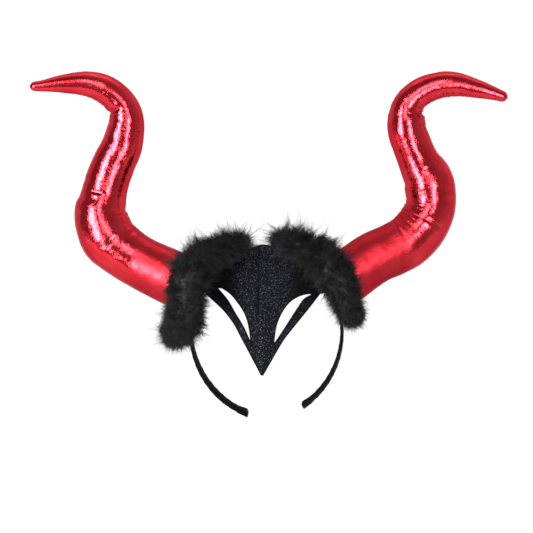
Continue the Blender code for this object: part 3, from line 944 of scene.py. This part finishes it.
def dome(turn, height):
    if height < 0.5:
        return 0.0
    rise = peak["domeRise"] * math.exp(-(((turn - peak["domeTurn"]) / peak["domeWidth"]) ** 2))
    return rise - peak["notchDepth"] * math.exp(-(((turn - peak["notchTurn"]) / peak["notchWidth"]) ** 2))


def foldRows(turns):
    # height over the band's middle line and y, from the back edge over the band to the front
    lift, front, back = peak["foldLift"], peak["frontY"], peak["backY"]
    fold = [(lift - peak["hem"], back + peak["hem"])]
    fold += [(lift, y) for y in np.linspace(back, front + peak["edgeRadius"], 12)]
    fold += [(lift - down, front + behind) for down, behind in peak["foldEdge"]]
    fold += [(drop, front) for drop in np.linspace(lift - peak["foldDrop"], peak["foldFoot"], 6)]
    return [
        [[bandPlace(t, height + dome(t, height))[0] + Vector((0, y, 0)) for t in strip] for strip in turns]
        for height, y in fold
    ]


def makePeak():
    rows = foldRows(peakRow(peak["topTurns"]))
    folded = len(rows)
    curves = [smoothPath([(x, 0, z) for x, z in edge], peak["slotRows"] + 1) for edge in peak["edges"]]
    slots = [peakRow([Vector(curve[i]) for curve in curves]) for i in range(peak["slotRows"] + 1)]
    for i in range(1, peak["wingRows"] + 1):
        share = i / (peak["wingRows"] + 1)
        rows.append([
            [top.lerp(foot, share) for top, foot in zip(a, b)] for a, b in zip(rows[folded - 1], slots[0])
        ])
    firstSlot = len(rows)
    rows += slots
    foot = [*slots[-1][0], *slots[-1][1][1:], *slots[-1][2][1:]]
    tip = Vector((peak["tip"][0], 0, peak["tip"][1]))
    tipRows = []
    for i in range(1, peak["tipRows"] + 1):
        share = i / peak["tipRows"] * peak["tipBlunt"]
        tipRows.append([point.lerp(tip, share) for point in foot])
    verts, index, faces = [], {}, []

    def place(point, bent):
        y = peakDepth(point.x, point.z) if bent else point.y
        key = (round(point.x, 4), round(y, 4), round(point.z, 4))
        if key not in index:
            index[key] = len(verts)
            verts.append(Vector((point.x, y, point.z)) * millimetre)
        return index[key]

    def joinRows(first, second):
        for j in range(len(first) - 1):
            corners = (first[j], second[j], second[j + 1], first[j + 1])
            if len(set(corners)) > 2:
                faces.append(tuple(dict.fromkeys(corners)))

    numbered = [[[place(p, i >= folded) for p in strip] for strip in row] for i, row in enumerate(rows)]
    for i in range(len(numbered) - 1):
        for strip in range(3):
            joinRows(numbered[i][strip], numbered[i + 1][strip])
        if i < firstSlot:
            for a, b in ((0, 1), (1, 2)):
                joinRows(
                    [numbered[i][a][-1], numbered[i][b][0]], [numbered[i + 1][a][-1], numbered[i + 1][b][0]]
                )
    last = [*numbered[-1][0], *numbered[-1][1][1:], *numbered[-1][2][1:]]
    tipNumbers = [[place(p, True) for p in row] for row in tipRows]
    for row in tipNumbers:
        joinRows(last, row)
        last = row
    mesh = bpy.data.meshes.new("glitterPeak")
    mesh.from_pydata(verts, [], faces)
    mesh.update()
    piece = keepPiece("glitterPeak", mesh, glitter)
    wall = piece.modifiers.new("wall", "SOLIDIFY")
    wall.thickness = peak["thickness"] * millimetre
    wall.offset = 0
    depsgraph = bpy.context.evaluated_depsgraph_get()
    solid = bpy.data.meshes.new_from_object(piece.evaluated_get(depsgraph))
    piece.modifiers.clear()
    piece.data = solid
    solid.shade_smooth()
    solid.set_sharp_from_angle(angle=math.radians(peak["sharpTurn"]))
    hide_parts("widows_peak")

    makeBindings(rows[folded + 2:firstSlot] + slots, slots, tipRows)


def makeBindings(hanging, slots, tipRows):
    def onFront(points):
        return [Vector((point.x, peakDepth(point.x, point.z), point.z)) for point in points]

    lines = {
        "outer_left": [row[0][0] for row in hanging] + [row[0] for row in tipRows],
        "outer_right": [row[2][-1] for row in hanging] + [row[-1] for row in tipRows],
        "eye_left": [row[0][-1] for row in slots] + [row[1][0] for row in slots[-2::-1]],
        "eye_right": [row[2][0] for row in slots] + [row[1][-1] for row in slots[-2::-1]],
    }
    for name, line in lines.items():
        makeBinding(name, onFront(line), name.startswith("eye"))


def makeBinding(name, line, loop):
    points = [(p.x, p.y, p.z) for p in line]
    if loop:
        points.append(points[0])
    path = smoothPath(points[::2] if len(points) > 30 else points, peak["bindingRings"])
    if loop:
        path = path[:-1]
    sides, rings = peak["bindingSides"], []
    wide, deep = peak["binding"], peak["thickness"] / 2 + peak["bindingProud"]
    for i, centre in enumerate(path):
        ahead = path[(i + 1) % len(path)] if loop or i + 1 < len(path) else centre
        behind = path[i - 1] if loop or i else centre
        heading = Vector(ahead - behind).normalized()
        side = heading.cross(Vector((0, 1, 0))).normalized()
        forward = side.cross(heading)
        ring = []
        for j in range(sides):
            a = 2 * math.pi * j / sides
            edge = side * math.cos(a) * wide + forward * math.sin(a) * deep
            ring.append((Vector(centre) + edge) * millimetre)
        rings.append(ring)
    mesh = meshFromRings("binding", rings, closedAlong=loop)
    piece = keepPiece(f"peak_binding_{name}", mesh, boundEdge)


studio = {
    "distance": 1.9,
    "sensor": 36,
    "aimZ": 0.04,
    "frameWidth": 0.4264,
    "lookZ": -0.0092,
    "floorHalf": 2.0,
    "floorZ": -0.30,
    "floorFront": -0.42,
    "worldBright": 1.04,
    "worldFront": 0.36,
    "worldDark": 0.26,
    "worldMiddling": 0.50,
    "worldLeft": 0.31,
    "worldRight": 0.70,
    "floorBack": 0.66,
    # between which values of a direction's x or y the surroundings change
    "darkTurn": (0.1, 0.5),
    "frontTurn": (-0.95, -0.6),
    "sideTurn": (-0.8, 0.2),
    "sideFrom": (-0.6, -0.12),
    "backFrom": (0.0, 0.36),
    "mainBox": {"place": (-1.171, -1.369, 0.13), "size": (0.62, 1.24), "power": 79.0},
    "fillBox": {"place": (0.496, -1.730, -0.05), "size": (0.38, 0.84), "power": 29.0},
    "tipBox": {"place": (-0.14, -1.47, 0.68), "size": (0.34, 0.60), "power": 10.0},
    "topBox": {"place": (0.0, 0.5, 2.2), "size": (2.4, 1.2), "power": 9.0},
}


def makeStudio():
    scene = bpy.context.scene
    scene.view_settings.view_transform = "Standard"
    scene.view_settings.look = "None"
    camera = bpy.data.objects.new("camera", bpy.data.cameras.new("camera"))
    scene.collection.objects.link(camera)
    camera.location = (0, -studio["distance"], studio["lookZ"])
    camera.rotation_euler = (math.radians(90), 0, 0)
    camera.data.sensor_width = studio["sensor"]
    camera.data.lens = studio["sensor"] * studio["distance"] / studio["frameWidth"]
    scene.camera = camera

    half, near, far = studio["floorHalf"], studio["floorFront"], studio["floorBack"]
    corners = [(-half, near), (half, near), (half, far), (-half, far)]
    mesh = bpy.data.meshes.new("floor")
    mesh.from_pydata([(x, y, studio["floorZ"]) for x, y in corners], [], [(0, 1, 2, 3)])
    floor = bpy.data.objects.new("floor", mesh)
    mesh.materials.append(paleFloor())
    scene.collection.objects.link(floor)
    floor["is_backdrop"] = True

    world = bpy.data.worlds.new("studio")
    scene.world = world
    world.use_nodes = True
    wires = Wiring(world.node_tree)
    direction = wires.add("ShaderNodeTexCoord", out="Generated")
    parts = wires.split(direction)
    forward = parts.output(1)
    dark = wires.fade(parts, *studio["darkTurn"], studio["worldDark"], studio["worldMiddling"])
    front = wires.fade(forward, *studio["frontTurn"], studio["worldFront"], dark)
    side = wires.fade(parts, *studio["sideTurn"], studio["worldLeft"], studio["worldRight"])
    glow = front + wires.fade(forward, *studio["sideFrom"]) * (side - front)
    glow = glow + wires.fade(forward, *studio["backFrom"]) * (studio["worldBright"] - glow)
    plug(world.node_tree, world.node_tree.nodes["Background"].inputs["Strength"], glow)
    world.node_tree.nodes["Background"].inputs["Color"].default_value = (1, 1, 1, 1)

    for name in ("mainBox", "fillBox", "tipBox", "topBox"):
        facts = studio[name]
        light = bpy.data.lights.new(name, "AREA")
        light.shape = "RECTANGLE"
        light.size, light.size_y = facts["size"]
        light.energy = facts["power"]
        lamp = bpy.data.objects.new(name, light)
        lamp.location = facts["place"]
        aim = Vector((0, 0, studio["aimZ"])) - lamp.location
        lamp.rotation_euler = aim.to_track_quat("-Z", "Y").to_euler()
        scene.collection.objects.link(lamp)


foil = redFoilCloth()
glitter = glitterCloth()
boundEdge = boundEdgeCloth()
satin = blackSatin()
pile = blackFur()

makeStudio()
print("studio ready")
makeBand()
print("band ready")
makePeak()
print("peak ready")
for side in ("left", "right"):
    makeHorn(side)
    print("horn ready", side)
    makeFur(side)


def plainBox(bounds):
    return "[[" + "], [".join(", ".join(f"{value:.5f}" for value in corner) for corner in bounds) + "]]"


'{"cad": ' + plainBox(cadBounds) + ', "scene": ' + plainBox(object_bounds()) + "}\n"
